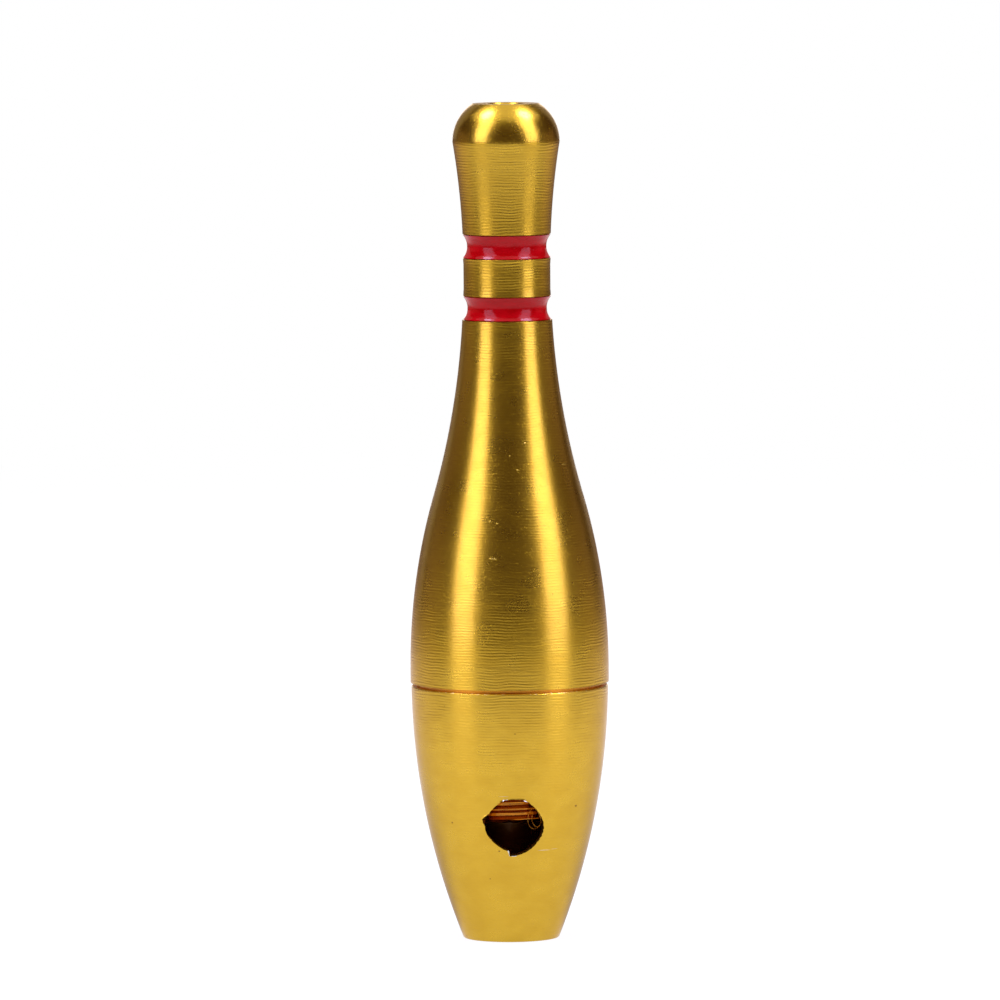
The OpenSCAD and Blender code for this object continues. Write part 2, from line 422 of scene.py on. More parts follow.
def wall_with_hole(lathe, side, edge, lip, rings):
    """One wall over the window's height. Returns its lowest and highest ring and the hole's loop.

    edge holds the hole's edge as x and z, and lip how far the metal stands up there.
    """
    rows = round(2 * WINDOW_REACH / WINDOW_STEP)
    grid = {}
    for row in range(rows + 1):
        z = HOLE_Z - WINDOW_REACH + row * WINDOW_STEP
        for i in range(COLUMNS):
            column = i if i <= COLUMNS // 2 else i - COLUMNS
            if row in (0, rows) or abs(column) >= WINDOW_HALF:
                turn = column / COLUMNS
                grid[row, column % COLUMNS] = lathe.point(side(z, turn % 1), turn, z)
    for row in range(rows):
        for column in range(WINDOW_HALF, COLUMNS - WINDOW_HALF):
            beside = (column + 1) % COLUMNS
            lathe.face(grid[row, column], grid[row, beside], grid[row + 1, beside], grid[row + 1, column])
    border = window_loop(rows)
    last = [grid[row, column % COLUMNS] for row, column in border]
    for step in range(1, rings + 1):
        share = 1 - (1 - step / rings) ** RING_EASE
        loop = []
        for (row, column), (edge_x, edge_z), rise in zip(border, edge, lip):
            z0 = HOLE_Z - WINDOW_REACH + row * WINDOW_STEP
            x0 = side(z0, (column / COLUMNS) % 1) * math.sin(2 * math.pi * column / COLUMNS)
            x, z = x0 + (edge_x - x0) * share, z0 + (edge_z - z0) * share
            radius = side(z, turn_at(x, side(z, 0)) % 1)
            near = max(0.0, 1 - math.hypot(x - edge_x, z - edge_z) / LIP_W)
            loop.append(lathe.point(radius + rise * near, turn_at(x, radius), z))
        lathe.bridge(last, loop)
        last = loop
    lowest = [grid[0, i] for i in range(COLUMNS)]
    highest = [grid[rows, i] for i in range(COLUMNS)]
    return lowest, highest, last


def hole_edge():
    """The hole's edge as x and z, at the angles of the window's border."""
    rows = round(2 * WINDOW_REACH / WINDOW_STEP)
    edge = []
    for row, column in window_loop(rows):
        z = HOLE_Z - WINDOW_REACH + row * WINDOW_STEP
        x = cup_side(z) * math.sin(2 * math.pi * column / COLUMNS)
        angle = math.degrees(math.atan2(z - HOLE_Z, x))
        radius = hole_radius(angle)
        edge.append((radius * math.cos(math.radians(angle)), HOLE_Z + radius * math.sin(math.radians(angle))))
    return edge


def hole_lip():
    """How far the burr at the hole's edge stands up, at the same angles."""
    lips = []
    for x, z in hole_edge():
        angle = math.atan2(z - HOLE_Z, x)
        wave = noise.noise(Vector((math.cos(angle), math.sin(angle), 7)) * 5)
        lips.append(LIP_LOW + LIP_RISE * max(0.0, wave))
    return lips


# ---------------------------------------------------------------- materials

def per_metre(*lengths):
    """The scales at which a texture's features are as long as the given lengths in millimetres."""
    return tuple(1 / (length * MM) for length in lengths)


class Nodes:
    """A small helper that adds shader nodes and links them by name."""

    def __init__(self, name):
        self.material = bpy.data.materials.new(name)
        self.material.use_nodes = True
        self.tree = self.material.node_tree
        self.shader = self.tree.nodes["Principled BSDF"]
        self.place = self.add("ShaderNodeTexCoord").outputs["Object"]

    def add(self, kind, **settings):
        node = self.tree.nodes.new(kind)
        for key, value in settings.items():
            setattr(node, key, value)
        return node

    def link(self, value, socket):
        """Puts a number, a colour or another node's output into a socket."""
        if isinstance(value, bpy.types.NodeSocket):
            self.tree.links.new(value, socket)
        else:
            socket.default_value = value

    def set(self, **sockets):
        for name, value in sockets.items():
            self.link(value, self.shader.inputs[name.replace("_", " ")])

    def math(self, operation, first, second=0.0, third=None, clamp=False):
        node = self.add("ShaderNodeMath", operation=operation, use_clamp=clamp)
        self.link(first, node.inputs[0])
        self.link(second, node.inputs[1])
        if third is not None:
            self.link(third, node.inputs[2])
        return node.outputs[0]

    def scaled(self, scale, moved=(0, 0, 0)):
        """The place in the object's own frame, scaled and then moved."""
        node = self.add("ShaderNodeMapping")
        self.link(self.place, node.inputs["Vector"])
        node.inputs["Location"].default_value = moved
        node.inputs["Scale"].default_value = scale
        return node.outputs[0]

    def noise(self, lengths, detail=2.0, roughness=0.5, moved=(0, 0, 0)):
        """Noise whose features are as long as the three lengths in millimetres."""
        node = self.add("ShaderNodeTexNoise")
        self.link(self.scaled(per_metre(*lengths), moved), node.inputs["Vector"])
        node.inputs["Scale"].default_value = 1
        node.inputs["Detail"].default_value = detail
        node.inputs["Roughness"].default_value = roughness
        return node.outputs["Fac"]

    def spots(self, spacing, moved=(0, 0, 0)):
        """The distance to the nearest of many points that are scattered about spacing millimetres apart."""
        node = self.add("ShaderNodeTexVoronoi")
        self.link(self.scaled(per_metre(spacing, spacing, spacing), moved), node.inputs["Vector"])
        node.inputs["Scale"].default_value = 1
        return node.outputs["Distance"]

    def remap(self, value, low, high, to_low=0.0, to_high=1.0):
        node = self.add("ShaderNodeMapRange", interpolation_type="SMOOTHSTEP")
        names = ("Value", "From Min", "From Max", "To Min", "To Max")
        for name, number in zip(names, (value, low, high, to_low, to_high)):
            self.link(number, node.inputs[name])
        return node.outputs[0]

    def mix(self, share, first, second):
        node = self.add("ShaderNodeMix", data_type="RGBA")
        self.link(share, node.inputs["Factor"])
        self.link(first, node.inputs["A"])
        self.link(second, node.inputs["B"])
        return node.outputs["Result"]

    def bump(self, height, distance):
        """A normal from a relief whose unit is distance millimetres."""
        node = self.add("ShaderNodeBump")
        self.link(height, node.inputs["Height"])
        node.inputs["Distance"].default_value = distance * MM
        return node.outputs["Normal"]

    def coordinate(self, axis):
        node = self.add("ShaderNodeSeparateXYZ")
        self.link(self.place, node.inputs[0])
        return node.outputs[axis]

    def height(self):
        return self.coordinate("Z")

    def axis_distance(self):
        flat = self.scaled((1, 1, 0))
        node = self.add("ShaderNodeVectorMath", operation="LENGTH")
        self.link(flat, node.inputs[0])
        return node.outputs["Value"]

    def mark(self, x, z, half_width, half_height):
        """An oval spot on the side that faces -Y: 1 in its middle and 0 outside it."""
        scale = (1 / (half_width * MM), 0, 1 / (half_height * MM))
        moved = self.scaled(scale, moved=(-x / half_width, 0, -z / half_height))
        node = self.add("ShaderNodeVectorMath", operation="LENGTH")
        self.link(moved, node.inputs[0])
        oval = self.remap(node.outputs["Value"], 1.0, 0.5)
        return self.math("MULTIPLY", oval, self.math("LESS_THAN", self.coordinate("Y"), 0.0))

    def marks(self, places):
        """Several spots as one mask."""
        total = 0.0
        for place in places:
            total = self.math("ADD", total, self.mark(*place), clamp=True)
        return total


GOLD = (0.61, 0.375, 0.027, 1)
GOLD_DEEP = (0.57, 0.34, 0.021, 1)
GOLD_WORN = (0.74, 0.56, 0.20, 1)
# Painted shade: the spigot's gold, darkened to the orange-brown it shows deep inside the cup
GOLD_SPIGOT_SHADE = (0.44, 0.155, 0.006, 1)
# Painted shade: the chamber's gold, darkened as it looks deep inside the cup
GOLD_CHAMBER_SHADE = (0.30, 0.11, 0.008, 1)
GOLD_PIT = (0.20, 0.09, 0.01, 1)
# Painted reflection: the deeper orange of light that bounces inside the seam
GOLD_SEAM_REFLECTION = (0.80, 0.36, 0.02, 1)
GOLD_EDGE = (0.86, 0.76, 0.66, 1)
BARE = (0.86, 0.86, 0.87, 1)
BARE_WARM = (0.75, 0.70, 0.58, 1)
ENAMEL_DARK = (0.34, 0.0005, 0.002, 1)
ENAMEL_LIGHT = (0.41, 0.001, 0.004, 1)
ENAMEL_DUST = (0.20, 0.0, 0.0, 1)
BRASS = (0.60, 0.42, 0.15, 1)
BRASS_DULL = (0.34, 0.20, 0.07, 1)
SWARF_DARK = (0.36, 0.12, 0.01, 1)
SWARF_LIGHT = (0.62, 0.30, 0.04, 1)
BLACK = (0, 0, 0, 1)

CHAMBER_WIDENING = 1.35
LINE_PITCH = 0.27
LINE_WAVER = 14
LINE_DEPTH = 0.20
RELIEF = 0.016

# Each mark on the side that faces the camera: x, z, half its width, half its height
BELLY_NICKS = (
    (-1.8, 37.1, 0.45, 0.10),
    (-2.03, 40.6, 0.12, 0.06),
    (-1.38, 40.4, 0.13, 0.05),
    (-0.1, 46.7, 0.07, 0.08),
    (0.6, 45.4, 0.14, 0.05),
    (1.34, 47.9, 0.12, 0.08),
    (5.14, 45.7, 0.28, 0.04),
)
CUP_PITS = (
    (-1.40, HOLE_Z - 2.30, 0.13, 0.10),
    (-2.24, HOLE_Z - 5.05, 0.08, 0.08),
    (6.00, HOLE_Z + 1.80, 0.14, 0.12),
    (-5.80, HOLE_Z + 0.30, 0.10, 0.10),
    (0.10, HOLE_Z + 9.10, 0.12, 0.06),
)
CUP_SCRATCHES = (
    (2.90, HOLE_Z - 2.30, 0.75, 0.04),
    (3.90, HOLE_Z - 2.24, 0.40, 0.025),
    (-1.00, HOLE_Z + 3.05, 0.60, 0.025),
)


def turning_lines(nodes):
    """Lines left by the lathe tool round the axis: a wavering feed mark on a finer grain."""
    waver = nodes.noise((3, 3, 3.5), detail=1.5)
    drift = nodes.math("MULTIPLY", waver, LINE_WAVER)
    phase = nodes.math("MULTIPLY_ADD", nodes.height(), 2 * math.pi / (LINE_PITCH * MM), drift)
    mark = nodes.math("SINE", phase)
    patches = nodes.noise((3.5, 3.5, 1.6), detail=2.0)
    strength = nodes.remap(patches, 0.3, 0.7, 0.35, 1.0)
    grain = nodes.noise((4, 4, LINE_PITCH * 0.8), detail=3.0, roughness=0.65)
    return nodes.math("MULTIPLY_ADD", nodes.math("MULTIPLY", mark, strength), LINE_DEPTH, grain)


def nicks(nodes, spacing, size, seed):
    """Sparse small dents, strewn unevenly."""
    dents = nodes.spots(spacing, (seed, seed, seed))
    patch = nodes.noise((4, 4, 4), detail=1.0, moved=(seed, 0, 0))
    found = nodes.remap(dents, size / spacing, size / spacing * 0.5)
    return nodes.math("MULTIPLY", found, nodes.remap(patch, 0.54, 0.60))


def in_chamber(nodes):
    """1 on the walls of the cup's chamber, and 0 on its side, which is further out at every height.

    The limit between them widens from the chamber's floor up, as far as just outside the thread.
    """
    widening = nodes.math("MULTIPLY_ADD", nodes.height(), CHAMBER_WIDENING, -CHAMBER_WIDENING * MM)
    limit = nodes.math("MINIMUM", widening, (THREAD_R + 0.3) * MM)
    return nodes.remap(nodes.math("SUBTRACT", nodes.axis_distance(), limit), 0.0, -0.05 * MM)


def in_seam(nodes):
    """1 in the open seam of the cup, and 0 elsewhere."""
    above = nodes.remap(nodes.height(), (SEAM_Z - SEAM_GAP - 0.02) * MM, (SEAM_Z - SEAM_GAP) * MM)
    inward = nodes.remap(nodes.axis_distance(), (RIM_R - 0.08) * MM, (RIM_R - 0.14) * MM)
    return nodes.math("MULTIPLY", above, inward)


def gold_metal(name, deep, deep_colour, deep_roughness, extra=None):
    """Gold anodised aluminium over turning lines, with small dents and pits.

    deep masks the hollows that lie deep inside, where deep_colour is painted shade. extra changes the colour,
    the roughness and the relief further.
    """
    nodes = Nodes(name)
    mottle = nodes.noise((2.5, 2.5, 1.6), detail=3.0)
    pits = nicks(nodes, 1.3, 0.07, 1)
    speckle = nodes.noise((0.13, 0.13, 0.10), detail=2.0)
    colour = nodes.mix(nodes.remap(mottle, 0.3, 0.75), GOLD, GOLD_DEEP)
    colour = nodes.mix(nodes.math("MULTIPLY", pits, 0.6), colour, GOLD_PIT)
    roughness = nodes.remap(mottle, 0.3, 0.7, 0.27, 0.30)
    relief = nodes.math("MULTIPLY_ADD", speckle, 0.16, turning_lines(nodes))
    relief = nodes.math("MULTIPLY_ADD", pits, -1.0, relief)
    relief = nodes.math("MULTIPLY_ADD", nicks(nodes, 1.1, 0.06, 5), 1.0, relief)
    if extra:
        colour, roughness, relief = extra(nodes, colour, roughness, relief)
    # Painted shade: the hollows deep inside get the darker deep_colour, and another roughness.
    hollow_shade = deep(nodes)
    nodes.set(
        Base_Color=nodes.mix(hollow_shade, colour, deep_colour),
        Metallic=1.0,
        Roughness=nodes.math("ADD", roughness, nodes.math("MULTIPLY", hollow_shade, deep_roughness - 0.3)),
        Specular_Tint=GOLD_EDGE,
        Anisotropic=0.4,
        Anisotropic_Rotation=0.25,
        Coat_Weight=0.3,
        Coat_Roughness=0.2,
        Coat_IOR=1.5,
        Normal=nodes.bump(relief, RELIEF),
        Tangent=nodes.add("ShaderNodeTangent", direction_type="RADIAL", axis="Z").outputs[0],
    )
    return nodes.material


def body_details(nodes, colour, roughness, relief):
    """The dome is polished, the belly has some nicks of its own, and all of it is a little gritty."""
    polish = nodes.remap(nodes.height(), (DOME_Z - 0.06) * MM, (DOME_Z + 0.02) * MM)
    peel = nodes.noise((0.3, 0.3, 0.3), detail=2.0)
    relief = nodes.math("MULTIPLY", relief, nodes.math("MULTIPLY_ADD", polish, -0.85, 1.0))
    relief = nodes.math("MULTIPLY_ADD", nodes.math("MULTIPLY", peel, polish), 0.5, relief)
    roughness = nodes.math("MULTIPLY_ADD", polish, -0.02, roughness)
    grit = nodes.noise((0.16, 0.16, 0.13), detail=1.0, moved=(3, 1, 2))
    relief = nodes.math("MULTIPLY_ADD", nodes.remap(grit, 0.62, 0.74), 0.3, relief)
    nicked = nodes.marks(BELLY_NICKS)
    torn = nodes.noise((0.15, 0.15, 0.06), detail=1.0)
    relief = nodes.math("MULTIPLY_ADD", nodes.math("MULTIPLY", nicked, torn), 1.8, relief)
    return nodes.mix(nodes.math("MULTIPLY", nicked, 0.4), colour, GOLD_WORN), roughness, relief


def cup_details(nodes, colour, roughness, relief):
    """The rim is chipped and its seam dull, with a painted reflection in the seam: the deeper orange of light
    that bounces between its gold walls. Pits and scratches lie round the side hole.
    """
    chips = nodes.remap(nodes.noise((0.4, 0.4, 0.2), detail=2.0), 0.54, 0.60)
    near = nodes.remap(nodes.height(), (SEAM_Z - SEAM_GAP - 0.14) * MM, (SEAM_Z - SEAM_GAP - 0.05) * MM)
    colour = nodes.mix(nodes.math("MULTIPLY", chips, near), colour, GOLD_WORN)
    seam = in_seam(nodes)
    # Painted reflection: the seam is coloured with the orange of light bouncing between its gold walls.
    colour = nodes.mix(seam, colour, GOLD_SEAM_REFLECTION)
    roughness = nodes.math("MULTIPLY_ADD", seam, 0.2, roughness)
    pitted = nodes.marks(CUP_PITS)
    scratched = nodes.marks(CUP_SCRATCHES)
    colour = nodes.mix(nodes.math("MULTIPLY", pitted, 0.8), colour, GOLD_PIT)
    colour = nodes.mix(nodes.math("MULTIPLY", scratched, 0.3), colour, BARE)
    relief = nodes.math("MULTIPLY_ADD", nodes.math("SUBTRACT", scratched, pitted), 0.6, relief)
    return colour, roughness, relief


def on_spigot(nodes):
    """1 on the spigot and 0 above it."""
    return nodes.remap(nodes.height(), (SEAM_Z - 0.05) * MM, (SEAM_Z - 0.15) * MM)


def red_enamel():
    """Glossy enamel, brushed on by hand: long soft waves, a few dust specks."""
    nodes = Nodes("red_enamel")
    flow = nodes.noise((1.6, 1.6, 0.5), detail=1.0)
    dust = nodes.remap(nodes.spots(0.9), 0.08, 0.03)
    colour = nodes.mix(nodes.remap(flow, 0.3, 0.7), ENAMEL_DARK, ENAMEL_LIGHT)
    nodes.set(
        Base_Color=nodes.mix(nodes.math("MULTIPLY", dust, 0.5), colour, ENAMEL_DUST),
        Roughness=nodes.remap(flow, 0.3, 0.7, 0.12, 0.16),
        Specular_IOR_Level=0.18,
        Normal=nodes.bump(nodes.math("MULTIPLY_ADD", dust, 0.6, flow), 0.02),
    )
    return nodes.material


def brass_wire():
    """Drawn brass wire, tarnished in places."""
    nodes = Nodes("brass_gauze")
    tarnish = nodes.noise((0.8, 0.8, 0.8), detail=3.0)
    drawn = nodes.noise((0.05, 0.05, 0.05), detail=1.0)
    nodes.set(
        Base_Color=nodes.mix(nodes.remap(tarnish, 0.35, 0.7), BRASS, BRASS_DULL),
        Metallic=1.0,
        Roughness=nodes.remap(tarnish, 0.3, 0.7, 0.28, 0.5),
        Normal=nodes.bump(drawn, 0.006),
    )
    return nodes.material


def bare_metal():
    """Freshly torn aluminium, where the drill broke through the anodising."""
    nodes = Nodes("bare_aluminium")
    torn = nodes.noise((0.12, 0.12, 0.12), detail=2.0)
    nodes.set(
        Base_Color=nodes.mix(nodes.remap(torn, 0.3, 0.7), BARE, BARE_WARM),
        Metallic=1.0,
        Roughness=0.35,
        Normal=nodes.bump(torn, 0.02),
    )
    return nodes.material


def swarf_metal():
    """Thin swarf with stains."""
    nodes = Nodes("swarf")
    stain = nodes.noise((0.3, 0.3, 0.3), detail=2.0)
    nodes.set(
        Base_Color=nodes.mix(nodes.remap(stain, 0.35, 0.65), SWARF_DARK, SWARF_LIGHT),
        Metallic=1.0,
        Roughness=0.35,
        Normal=nodes.bump(stain, 0.01),
    )
    return nodes.material


# ---------------------------------------------------------------- pieces

MALE_ROWS = (-0.374, -0.2, -CREST_HALF, 0.0, CREST_HALF, 0.2, 0.374, 0.5)
FEMALE_ROWS = (-0.42, -0.25, -0.1087, 0.0, 0.1087, 0.25, 0.42, 0.5)


def make_mouthpiece(material):
    """The upper half as one closed skin: outside, airway, screen recess and threaded spigot."""
    lathe = Lathe()
    thread_low, thread_high = lathe.helix(spigot_side, SPIGOT_Z, RELIEF_Z, MALE_ROWS)
    _, top = lathe.sweep(joined([(RELIEF_R, RELIEF_Z), (RELIEF_R, SEAM_Z)], upper_outline()), thread_high)
    inside = [
        (AIRWAY_R + AIRWAY_BEVEL, TOP_Z),
        (AIRWAY_R, TOP_Z - AIRWAY_BEVEL),
        (AIRWAY_R, AIRWAY_Z),
        (WIDE_BORE_R, AIRWAY_Z - WIDE_TIP),
        (WIDE_BORE_R, SPIGOT_Z + RECESS_H),
        (RECESS_R, SPIGOT_Z + RECESS_H),
        (RECESS_R, SPIGOT_Z),
    ]
    _, last = lathe.sweep(inside, top)
    lathe.bridge(last, thread_low)
    piece = lathe.finish("mouthpiece_skin", material)
    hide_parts("mouthpiece_body")
    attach(piece, "mouthpiece")


def make_cup(material):
    """The lower half as one closed skin: base, side, rim, tapped chamber and side hole."""
    lathe = Lathe()
    edge, lip = hole_edge(), hole_lip()
    outer_low, outer_high, outer_hole = wall_with_hole(lathe, cup_side, edge, lip, OUTER_RINGS)
    no_lip = [0.0] * len(edge)
    inner_low, inner_high, inner_hole = wall_with_hole(lathe, chamber_side, edge, no_lip, INNER_RINGS)

    window_low, window_high = HOLE_Z - WINDOW_REACH, HOLE_Z + WINDOW_REACH
    rim_z = SEAM_Z - SEAM_GAP
    base, foot = lathe.sweep([(BASE_R - EDGE, 0)] + cup_outline(EDGE, window_low)[:-1])
    lathe.cap(base, 0)
    lathe.bridge(foot, outer_low)
    side = cup_outline(window_high, rim_z - EDGE)[1:]
    rim = [(RIM_R - EDGE, rim_z), (SEAT_R, rim_z), (SEAT_R, SEAM_Z)]
    _, seat = lathe.sweep(side + rim, outer_high)

    thread_low, mouth = lathe.helix(chamber_side, window_high, SEAM_Z, FEMALE_ROWS)
    lathe.bridge(seat, mouth)
    lathe.bridge(thread_low, inner_high)
    _, floor = lathe.sweep([(DRILL_R, CHAMBER_Z), (WEB_R, FLOOR_Z)], inner_low)
    lathe.cap(floor, FLOOR_Z)

    drill_hole_wall(lathe, outer_hole, inner_hole, edge)
    piece = lathe.finish("cup_skin", material)
    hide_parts("bowl_cup")
    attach(piece, "cup")


def drill_hole_wall(lathe, outer_hole, inner_hole, edge):
    """The wall of the side hole, from its outer edge to its inner edge, with faint drill rings."""
    last = outer_hole
    for step in range(1, DRILL_RINGS):
        share = step / DRILL_RINGS
        loop = []
        for outer, inner, (x, z) in zip(outer_hole, inner_hole, edge):
            depth = lathe.points[outer][1] + (lathe.points[inner][1] - lathe.points[outer][1]) * share
            distance = math.hypot(x, z - HOLE_Z)
            angle = math.atan2(z - HOLE_Z, x)
            ring = Vector((math.cos(angle) * 3, math.sin(angle) * 3, step))
            drilled = HOLE_R + DRILL_RING * noise.noise(ring)
            torn = (1 - min(1.0, share / TORN_SHARE)) ** 2
            radius = drilled + (distance - drilled) * torn if distance > drilled else distance
            radius = min(radius, drilled) if step > DRILL_RINGS * 0.5 else radius
            x, z = radius * math.cos(angle), HOLE_Z + radius * math.sin(angle)
            lathe.points.append((x * MM, depth, z * MM))
            loop.append(len(lathe.points) - 1)
        lathe.bridge(last, loop)
        last = loop
    lathe.bridge(last, inner_hole)


ENAMEL_CURL = 0.03
ENAMEL_ROWS = 26
ENAMEL_SPREAD = 0.03
ENAMEL_OVER = 0.012
ENAMEL_HIDDEN = 0.06
ENAMEL_SUNK = 0.01


def make_band(name, node, z, material, seed):
    """Enamel in one groove: a thin ring with slightly uneven edges."""
    lathe = Lathe()
    centre_r = ENAMEL_R + TOOL_R
    lip_r = LAND_R + LAND_LIP
    half = groove_half(ENAMEL_R, lip_r)

    def uneven(turn, side):
        angle = 2 * math.pi * turn
        where = Vector((math.cos(angle) * 2.2, math.sin(angle) * 2.2, seed + side))
        fine = Vector((math.cos(angle) * 14, math.sin(angle) * 14, seed - side))
        size = 0.035 if side < 0 else 0.015
        return size * noise.noise(where) + 0.6 * size * noise.noise(fine)

    rings = []
    for i in range(ENAMEL_ROWS + 1):
        share = 2 * i / ENAMEL_ROWS - 1
        ring = []
        for column in range(COLUMNS):
            turn = column / COLUMNS
            reach = half + ENAMEL_SPREAD + uneven(turn, math.copysign(1, share))
            height = share * reach
            meniscus = ENAMEL_CURL * max(0.0, -share / 0.2 - 4) ** 2
            radius = centre_r - math.sqrt(TOOL_R ** 2 - height ** 2) + meniscus
            ring.append(lathe.point(min(radius, lip_r + ENAMEL_OVER), turn, z + height))
        rings.append(ring)
    hidden_half = half - ENAMEL_HIDDEN
    for i in range(ENAMEL_ROWS + 1):
        height = hidden_half * (1 - 2 * i / ENAMEL_ROWS)
        radius = centre_r - ENAMEL_T - ENAMEL_SUNK - math.sqrt(TOOL_R ** 2 - height ** 2)
        rings.append(lathe.ring(radius, z + height))
    for lower, upper in zip(rings, rings[1:] + rings[:1]):
        lathe.bridge(lower, upper)
    piece = lathe.finish(name, material, 50)
    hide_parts(node)
    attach(piece, "mouthpiece")


def tube(mesh_points, mesh_faces, path, radius, sides=8):
    """Adds a round tube with flat ends, along a path of points, to the lists."""
    first = len(mesh_points)
    for i, point in enumerate(path):
        before, after = path[max(0, i - 1)], path[min(len(path) - 1, i + 1)]
        along = (after - before).normalized()
        side = along.cross(Vector((0, 0, 1)))
        side = side.normalized() if side.length > 1e-6 else Vector((1, 0, 0))
        up = side.cross(along)
        for k in range(sides):
            a = 2 * math.pi * k / sides
            mesh_points.append(tuple((point + side * math.cos(a) * radius + up * math.sin(a) * radius) * MM))
    for i in range(len(path) - 1):
        for k in range(sides):
            a, b = first + i * sides + k, first + i * sides + (k + 1) % sides
            mesh_faces.append((a, b, b + sides, a + sides))
    mesh_faces.append([first + k for k in range(sides)][::-1])
    mesh_faces.append([first + (len(path) - 1) * sides + k for k in range(sides)])


GAUZE_SPACING = 0.5
GAUZE_SLACK = 0.003
WEAVE_GAP = 0.001


def make_gauze(material):
    """Woven brass gauze: wires that pass over and under each other, cut to a disc."""
    wire_r = (screen_high.z - screen_low.z) / 4 - GAUZE_SLACK
    middle_z = (screen_low.z + screen_high.z) / 2
    reach = SCREEN_R - wire_r
    count = int(reach / GAUZE_SPACING)
    points, faces = [], []
    for way in (0, 1):
        for i in range(-count, count + 1):
            across = i * GAUZE_SPACING
            half = math.sqrt(reach ** 2 - across ** 2)
            steps = max(4, round(2 * half / (GAUZE_SPACING / 6)))
            path = []
            for k in range(steps + 1):
                along = -half + 2 * half * k / steps
                over = 1 if (i + way) % 2 else -1
                lift = (wire_r + WEAVE_GAP) * math.cos(math.pi * along / GAUZE_SPACING) * over
                spot = (along, across) if way else (across, along)
                path.append(Vector((spot[0], spot[1], middle_z + lift)))
            tube(points, faces, path, wire_r)
    mesh = bpy.data.meshes.new("screen_weave")
    mesh.from_pydata(points, [], faces)
    piece = finish_mesh("screen_weave", mesh, material, 60)
    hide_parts("gauze_screen")
    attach(piece, "screen")


def edge_point(angle, out, lift):
    """A point near the hole's edge: out is how far outside the edge, lift how far above the cup's side."""
    radius = hole_radius(angle) + out
    x = radius * math.cos(math.radians(angle))
    z = HOLE_Z + radius * math.sin(math.radians(angle))
    distance = cup_side(z) + lift
    return Vector((x, -math.sqrt(distance ** 2 - x ** 2), z))


# Each burr: first angle, last angle, width outside the edge, overhang, height
WHITE_BURRS = (
    (101, 116, 0.13, 0.00, 0.07),
    (63, 73, 0.05, 0.06, 0.08),
    (254, 262, 0.20, 0.10, 0.16),
    (262, 281, 0.08, 0.02, 0.06),
)
GOLD_BURRS = (
    (199, 212, 0.14, 0.03, 0.10),
    (172, 180, 0.06, 0.02, 0.05),
    (324, 331, 0.10, 0.05, 0.08),
    (334, 339, 0.13, 0.04, 0.07),
    (342, 349, 0.10, 0.05, 0.09),
    (352, 357, 0.12, 0.04, 0.06),
    (1, 8, 0.07, 0.04, 0.08),
    (20, 26, 0.04, 0.03, 0.05),
    (286, 297, 0.05, 0.04, 0.06),
)


def make_burrs(name, burrs, material):
    """Slivers of metal, folded over the hole's edge where the drill tore it."""
    points, faces = [], []
    dice = random.Random(4)
    for first, last, width, overhang, rise in burrs:
        steps = max(5, round((last - first) / 1.5))
        start = len(points)
        for i in range(steps + 1):
            share = i / steps
            swell = math.sin(math.pi * share) ** 0.7 * dice.uniform(0.75, 1.0)
            angle = first + (last - first) * share
            section = (
                (width * swell, -0.03),
                (width * 0.5 * swell, rise * 0.55 * swell),
                (-overhang * swell, rise * swell),
                (-overhang * swell * 1.2, -0.10),
            )
            for out, lift in section:
                points.append(tuple(edge_point(angle, out, lift) * MM))
        for i in range(steps):
            for k in range(4):
                a, b = start + 4 * i + k, start + 4 * i + (k + 1) % 4
                faces.append((a, b, b + 4, a + 4))
        faces.append([start + k for k in range(4)][::-1])
        faces.append([start + 4 * steps + k for k in range(4)])
    mesh = bpy.data.meshes.new(name)
    mesh.from_pydata(points, [], faces)
    piece = finish_mesh(name, mesh, material, 35)
    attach(piece, "cup")


# Each curl: its middle as x and height over the hole's middle, half its size, lean, start and turns
SWARF_CURLS = (
    ((2.02, 0.80), (0.66, 1.03), -6, 0.0, 1.0),
    ((2.16, 0.62), (0.42, 0.66), 14, 0.3, 0.55),
)
SWARF_R = 0.024
SWARF_STEPS = 48
SWARF_Y = -6.9
SWARF_SWAY = 0.35
SWARF_REACH = 2.68


def make_swarf(material):
    """A curl of swarf that hangs on the right side of the hole's wall."""
    points, faces = [], []
    for (x, up), (half_w, half_h), lean, start, turns in SWARF_CURLS:
        path = []
        for i in range(SWARF_STEPS + 1):
            a = 2 * math.pi * (start + turns * i / SWARF_STEPS)
            dx, dz = half_w * math.cos(a), half_h * math.sin(a)
            tilt = math.radians(lean)
            px = x + dx * math.cos(tilt) - dz * math.sin(tilt)
            pz = HOLE_Z + up + dx * math.sin(tilt) + dz * math.cos(tilt)
            px = min(px, math.sqrt(max(0.0, SWARF_REACH ** 2 - (pz - HOLE_Z) ** 2)))
            path.append(Vector((px, SWARF_Y - SWARF_SWAY * math.sin(a * 0.5), pz)))
        tube(points, faces, path, SWARF_R, sides=6)
    mesh = bpy.data.meshes.new("swarf_curl")
    mesh.from_pydata(points, [], faces)
    piece = finish_mesh("swarf_curl", mesh, material, 60)
    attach(piece, "cup")


# ---------------------------------------------------------------- scene

VIEW_AZIMUTH = -2.24
VIEW_DISTANCE = 975
VIEW_HEIGHT = 120
VIEW_AIM_Z = 42.04
VIEW_FIELD = 95.7
VIEW_LEFT = 0.81
VIEW_ROLL = 0.4
SENSOR = 36


